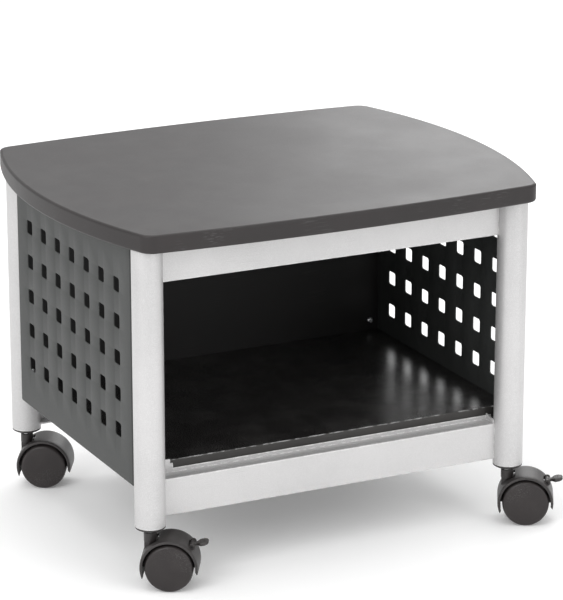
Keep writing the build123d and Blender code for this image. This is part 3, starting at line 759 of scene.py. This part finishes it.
# %% Put the hoods together
trail_length = 20.0
neck_near, neck_far, neck_low, neck_high = -11.65, -26.2, 13.5, 27.0
boss_radius, boss_bore, boss_low, boss_high = 6.75, 4.0, 23.6, 33.5
cheek_radius, cheek_hole, cheek_near, cheek_far = 3.4, 1.2, 6.5, 9.1
for c in corners:
    has_brake = c in braked
    neck = plate([(neck_far, neck_low), (neck_near, neck_low), (neck_near, neck_high),
                  (neck_far, neck_high)], -web_half, web_half)
    neck = (neck[0][:, [0, 2, 1]], neck[1])
    boss = rounded([(boss_bore, 28.0), (boss_bore, boss_low), (boss_radius, boss_low),
                    (boss_radius, boss_high), (boss_bore, boss_high), (boss_bore, 28.0)],
                   [0.1, 0.6, 0.8, 0.5], 5)[:-1]
    shells = [hood_shell(has_brake), web_shell(has_brake), eased(neck, 0.5),
              turned(boss, (-trail_length, 0, 0), (0, 0, 1), 72)]
    if has_brake:
        pin_at = (pin_distance * cos(radians(pin_angle)), 0.0,
                  pin_distance * sin(radians(pin_angle)))
        for side in (-1, 1):
            cheek = rounded([(cheek_hole, 7.5), (cheek_hole, cheek_near),
                             (cheek_radius, cheek_near), (cheek_radius, cheek_far),
                             (cheek_hole, cheek_far), (cheek_hole, 7.5)],
                            [0.1, 0.1, 0.7, 0.2], 4)[:-1]
            shells.append(turned(cheek * (1, side), pin_at, (0, 1, 0), 48))
    axle, trail, along_axle = caster_axes(c)
    shells = [placed((points * mm, faces), axle, trail, along_axle, (0, 0, 1))
              for points, faces in shells]
    to_piece(f"caster_hood_{c}", *gather(shells), f"caster_{c}", "black_nylon", [f"hood_{c}"])
print("hoods:", len(corners))

# %% [markdown]
# ## Brake levers
#
# The two front casters have a small moulded pedal. Its blade is a rounded section carried along
# a short line, narrow at the neck, wide and slightly thicker at the pad, with three grip ridges.
# A barrel turns on the pin, and a cam under it reaches towards the treads.

# %% The pedal's blade
def blade(length=16.8, rows=72, around=48):
    """The pedal: superellipse sections w * cos^(2/n), h * sin^(2/n) along x, closed at its ends.

    The half width w is read from a six-sided plan, 3 mm at the neck and 7.4 mm at the pad, and
    the half height h swells to the pad. Both fall at the ends by a root law, which rounds them.
    """
    s = (1 - np.cos(np.linspace(0, np.pi, rows))) / 2 * (length - 0.8) + 0.8
    w = np.interp(s, [0.8, 4.6, 8.6, 12.6, length], [3.2, 3.0, 7.2, 7.4, 4.6])
    h = np.interp(s, [0.8, 5.0, 8.6, 13.0, length], [1.7, 1.5, 2.1, 2.1, 1.6])
    end = np.sqrt(np.clip(np.minimum((s - 0.8) / 1.2, (length - s) / 1.2), 0, 1))
    w, h = w * (0.7 + 0.3 * end) * (end > 0), h * end
    t = np.linspace(0, 2 * np.pi, around, endpoint=False)
    n = 4.2
    side = np.sign(np.cos(t)) * np.abs(np.cos(t)) ** (2 / n)
    rise = np.sign(np.sin(t)) * np.abs(np.sin(t)) ** (2 / n)
    first_ridge, ridge_pitch, ridge_height = 8.0, 2.1, 0.28
    ridge = ridge_height * np.clip(np.cos((s - first_ridge) / ridge_pitch * 2 * np.pi), 0, 1) ** 2
    ridge *= ((s > 7.4) & (s < 13.3)) * 1.0
    y = w[:, None] * side
    z = h[:, None] * rise + ridge[:, None] * np.clip(rise, 0, 1) * (np.abs(side) < 0.86)
    points = np.stack([np.broadcast_to(s[:, None], y.shape), y, z], -1)
    inner = points[1:-1].reshape(-1, 3)
    k = np.arange(around)
    last = (rows - 3) * around
    ends = np.array([[s[0], 0, 0], [s[-1], 0, 0]])
    faces = grid_faces(rows - 2, around, wrap_columns=True)
    faces += np.stack([np.full(around, len(inner)), k, (k + 1) % around], -1).tolist()
    faces += np.stack([np.full(around, len(inner) + 1), last + (k + 1) % around, last + k],
                      -1).tolist()
    return np.vstack([inner, ends]), faces


# %% Put the levers together
lever_rise, barrel, barrel_half, pin_bore = 12.0, 2.7, 6.0, 1.25
nose_reach, nose_half, nose_spread = 3.9, 5.2, radians(55)
nose = radians(pin_angle + 180 - lever_rise)
up = np.array((0.0, 0.0, 1.0))
for c in braked:
    axle, trail, along_axle = caster_axes(c)
    towards_pin = trail * cos(radians(pin_angle)) + up * sin(radians(pin_angle))
    pin_at = axle + towards_pin * pin_distance * mm
    lift = radians(lever_rise)
    out = trail * cos(lift) + up * sin(lift)
    above = up * cos(lift) - trail * sin(lift)
    sleeve = rounded([(pin_bore, 0), (pin_bore, -barrel_half), (barrel, -barrel_half),
                      (barrel, barrel_half), (pin_bore, barrel_half), (pin_bore, 0)],
                     [0.1, 0.6, 0.6, 0.1], 4)[:-1]
    cam = [(barrel * cos(nose + nose_spread), barrel * sin(nose + nose_spread)),
           (nose_reach * cos(nose), nose_reach * sin(nose)),
           (barrel * cos(nose - nose_spread), barrel * sin(nose - nose_spread)), (0, 0)]
    cam_points, cam_faces = eased(plate(cam, -nose_half, nose_half), 0.3)
    shells = [blade(), turned(sleeve, (0, 0, 0), (0, 1, 0), 48),
              (cam_points[:, [0, 2, 1]], cam_faces)]
    shells = [placed((points * mm, faces), pin_at, out, along_axle, above)
              for points, faces in shells]
    to_piece(f"brake_pedal_{c}", *gather(shells), f"brake_{c}", "black_nylon", [f"lever_{c}"])
print("levers:", len(braked))

# %% [markdown]
# ## Screws
#
# Every screw is a pan head with a cross recess. The head's face is a height over a polar grid: a
# low dome, less a cross of two soft slots. The screws are found in the frame by gathering the
# points of each one, so they sit exactly where the frame has them.

# %% One screw
def screw(head=3.8, tall=2.4, shank=2.0, length=12.0, rows=30, around=64):
    """A screw along +z from its seat at zero: dome height tall * (1 - (r / head)^3)^0.5, with a
    cross recess where a point is within about 0.6 mm of either axis."""
    deep = 1.3
    r = head * np.sin(np.linspace(0, np.pi / 2, rows))[1:]
    t = np.linspace(0, 2 * np.pi, around, endpoint=False)
    x, y = r[:, None] * np.cos(t), r[:, None] * np.sin(t)

    def slot(across, along):
        return (np.clip((0.75 - np.abs(across)) / 0.3, 0, 1)
                * np.clip((2.1 - np.abs(along)) / 0.4, 0, 1))

    recess = np.maximum(slot(x, y), slot(y, x))
    z = -tall * np.sqrt(np.clip(1 - (r[:, None] / head) ** 3, 0, 1)) + deep * recess
    dome = np.stack([x, y, z], -1).reshape(-1, 3)
    body = np.array([(shank + 0.15, 0.0), (shank, 0.15), (shank, length - 1.2),
                     (shank * 0.45, length)])
    rings = np.stack([body[:, :1] * np.cos(t), body[:, :1] * np.sin(t),
                      np.broadcast_to(body[:, 1:], (len(body), around))], -1).reshape(-1, 3)
    points = np.vstack([dome, rings, [[0, 0, -tall + deep], [0, 0, length]]])
    faces = grid_faces(rows - 1 + len(body), around, wrap_columns=True)
    k = np.arange(around)
    last = (rows - 2 + len(body)) * around
    faces += np.stack([np.full(around, len(points) - 2), (k + 1) % around, k], -1).tolist()
    faces += np.stack([np.full(around, len(points) - 1), last + k, last + (k + 1) % around],
                      -1).tolist()
    return points, faces


# %% Put a screw in every seat
screw_reach = 0.02


def screw_seats(node):
    """The lowest and highest corner of each separate screw in a part."""
    co = np.zeros(len(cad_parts[node].data.vertices) * 3, np.float32)
    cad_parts[node].data.vertices.foreach_get("co", co)
    left, boxes = co.reshape(-1, 3).astype(float), []
    while len(left):
        near = np.linalg.norm(left - left[0], axis=1) < screw_reach
        boxes.append((left[near].min(0), left[near].max(0)))
        left = left[~near]
    return boxes


screw_ways = {"top_screws": (0, 0, 1), "front_panel_screws": (0, -1, 0),
              "rear_panel_screws": (0, 1, 0), "shelf_screws": (0, 0, 1)}
head_tall, twist = 2.4, 0.7
for node, way in screw_ways.items():
    way = np.array(way, float)
    side = np.array((1.0, 0.0, 0.0))
    shells = []
    for low, high in screw_seats(node):
        length = abs((high - low) @ way) / mm - head_tall
        start = (low + high) / 2 - way * abs((high - low) @ way) / 2 + way * head_tall * mm
        turn = twist * len(shells)
        x_axis = side * cos(turn) + np.cross(way, side) * sin(turn)
        points, faces = screw(length=length)
        shells.append(placed((points * mm, faces), start, x_axis, np.cross(way, x_axis), way))
    to_piece("pan_head_" + node, *gather(shells), "stand", "zinc_plated_steel", [node])
    print(node, len(shells))

# %% [markdown]
# ## Side panels
#
# Each side is one steel sheet: a field of square holes with rounded corners, punched while it
# was flat, then flanges folded back along all four edges. So the piece is made the same way. The
# grid is laid out flat, lines crowd round the holes so that their corners can be round, and one
# formula folds it. A small bevel softens the punched rims and the sheared edges.

# %% Fold a flat sheet
hole_half, hole_corner, hole_pitch, hole_columns, hole_rows = 7.5, 2.5, 38.5, 7, 5
sheet, bend = 1.2, 2.0
leg_flange, low_return, top_return = 18.0, 10.0, 14.5


def hole_lines(count):
    """Grid lines across a row of holes: edges, corner starts and middles of each."""
    centres = (np.arange(count) - (count - 1) / 2) * hole_pitch
    offsets = hole_half - hole_corner * np.array([0.0, 0.5, 1.0])
    offsets = np.concatenate([-offsets, [0.0], offsets[::-1]])
    return (centres[:, None] + offsets).ravel(), centres


def folded(length, half, depth):
    """Where a length from the middle of a sheet ends up when its edge is folded back.

    Up to the bend the sheet is flat. Round the bend it follows an arc, and past it the rest of
    the flange runs straight back. depth is how far inside the outer skin the point lies.
    """
    s, sign = np.abs(length), np.sign(length)
    flat = half - bend
    arc = np.clip((s - flat) / bend, 0, np.pi / 2)
    radius = bend - depth
    past = np.clip(s - flat - bend * np.pi / 2, 0, None)
    place = np.minimum(s, flat) + radius * np.sin(arc)
    back = depth + radius * (1 - np.cos(arc)) + past
    return sign * place, back


def panel_skin(y, z, half_y, half_z, depth):
    """A skin of the folded panel, as (depth behind the face, y, z) for flat coordinates y, z."""
    fy, back_y = folded(y, half_y, depth)
    fz, back_z = folded(z, half_z, depth)
    return np.stack([back_y + back_z - depth, fy, fz], -1)


# %% Punch and fold the side panels
def side_sheet(half_y, half_z):
    """The folded, punched sheet, about its own middle."""
    y_lines, y_holes = hole_lines(hole_columns)
    z_lines, z_holes = hole_lines(hole_rows)
    turn = bend * np.linspace(0, np.pi / 2, 6)
    y_bend, z_bend = half_y - bend + turn, half_z - bend + turn
    y_edge = np.concatenate([[half_y - 12.0], y_bend, [y_bend[-1] + leg_flange - bend]])
    z_low = np.concatenate([[half_z - 20.0], z_bend, [z_bend[-1] + low_return - bend]])
    z_top = np.concatenate([z_low[:-1], [z_bend[-1] + top_return - bend]])
    ys = np.concatenate([-y_edge[::-1], y_lines, y_edge])
    zs = np.concatenate([-z_low[::-1], z_lines, z_top])
    y, z = np.meshgrid(ys, zs, indexing="ij")
    # points on a hole's edge move to its rounded outline
    for cy in y_holes:
        for cz in z_holes:
            dy, dz = y - cy, z - cz
            far, near = np.maximum(np.abs(dy), np.abs(dz)), np.minimum(np.abs(dy), np.abs(dz))
            on = (np.abs(far - hole_half) < 1e-6) & (near > hole_half - hole_corner + 1e-6)
            share = (hole_half - near[on]) / hole_corner
            swing = radians(45.0) * (1 - share)
            steep = np.abs(dz[on]) >= np.abs(dy[on])
            a = np.where(steep, radians(90.0) - swing, swing)
            y[on] = cy + np.sign(dy[on]) * (hole_half - hole_corner + hole_corner * np.cos(a))
            z[on] = cz + np.sign(dz[on]) * (hole_half - hole_corner + hole_corner * np.sin(a))
    mid_y = (ys[:-1] + ys[1:])[:, None] / 2
    mid_z = (zs[:-1] + zs[1:])[None, :] / 2
    in_y = (np.abs(mid_y[:, :, None] - y_holes) < hole_half).any(-1)
    in_z = (np.abs(mid_z[:, :, None] - z_holes) < hole_half).any(-1)
    beyond_y = np.abs(mid_y) > half_y - bend
    beyond_z = np.abs(mid_z) > half_z - bend
    kept = ~(in_y & in_z) & ~(beyond_y & beyond_z)
    outer = panel_skin(y, z, half_y, half_z, 0.0)
    inner = panel_skin(y, z, half_y, half_z, sheet)
    return eased(sheet_between(outer, inner, kept), 0.22, 2, 40.0)


for node, way in (("side_panel_left", 1), ("side_panel_right", -1)):
    low, high = (np.array(corner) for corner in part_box(node))
    size = (high - low) / mm
    face_x = low[0] if way > 0 else high[0]
    origin = (face_x, (low[1] + high[1]) / 2, (low[2] + high[2]) / 2)
    points, faces = side_sheet(size[1] / 2, size[2] / 2)
    points, faces = placed((points * mm, faces), origin, (way, 0, 0), (0, 1, 0), (0, 0, 1))
    to_piece("punched_" + node, points, faces, "stand", "grey_powder_coat", [node])
    print(node, "size", size.round(1), "faces", len(faces))

# %% [markdown]
# ## Floor
#
# A plain pale sheet, staged so that it isn't counted as part of the stand.

# %% Lay the floor
floor_lines = 9
across = np.linspace(-floor_half, floor_half, floor_lines)
floor_points = np.stack(np.meshgrid(across, across, indexing="ij"), -1).reshape(-1, 2)
floor_points = np.column_stack([floor_points[:, ::-1], np.zeros(len(floor_points))])
floor_mesh = bpy.data.meshes.new("floor")
floor_mesh.from_pydata(floor_points.tolist(), [], grid_faces(floor_lines, floor_lines))
floor_mesh.materials.append(floor_finish)
floor = bpy.data.objects.new("floor", floor_mesh)
bpy.context.scene.collection.objects.link(floor)
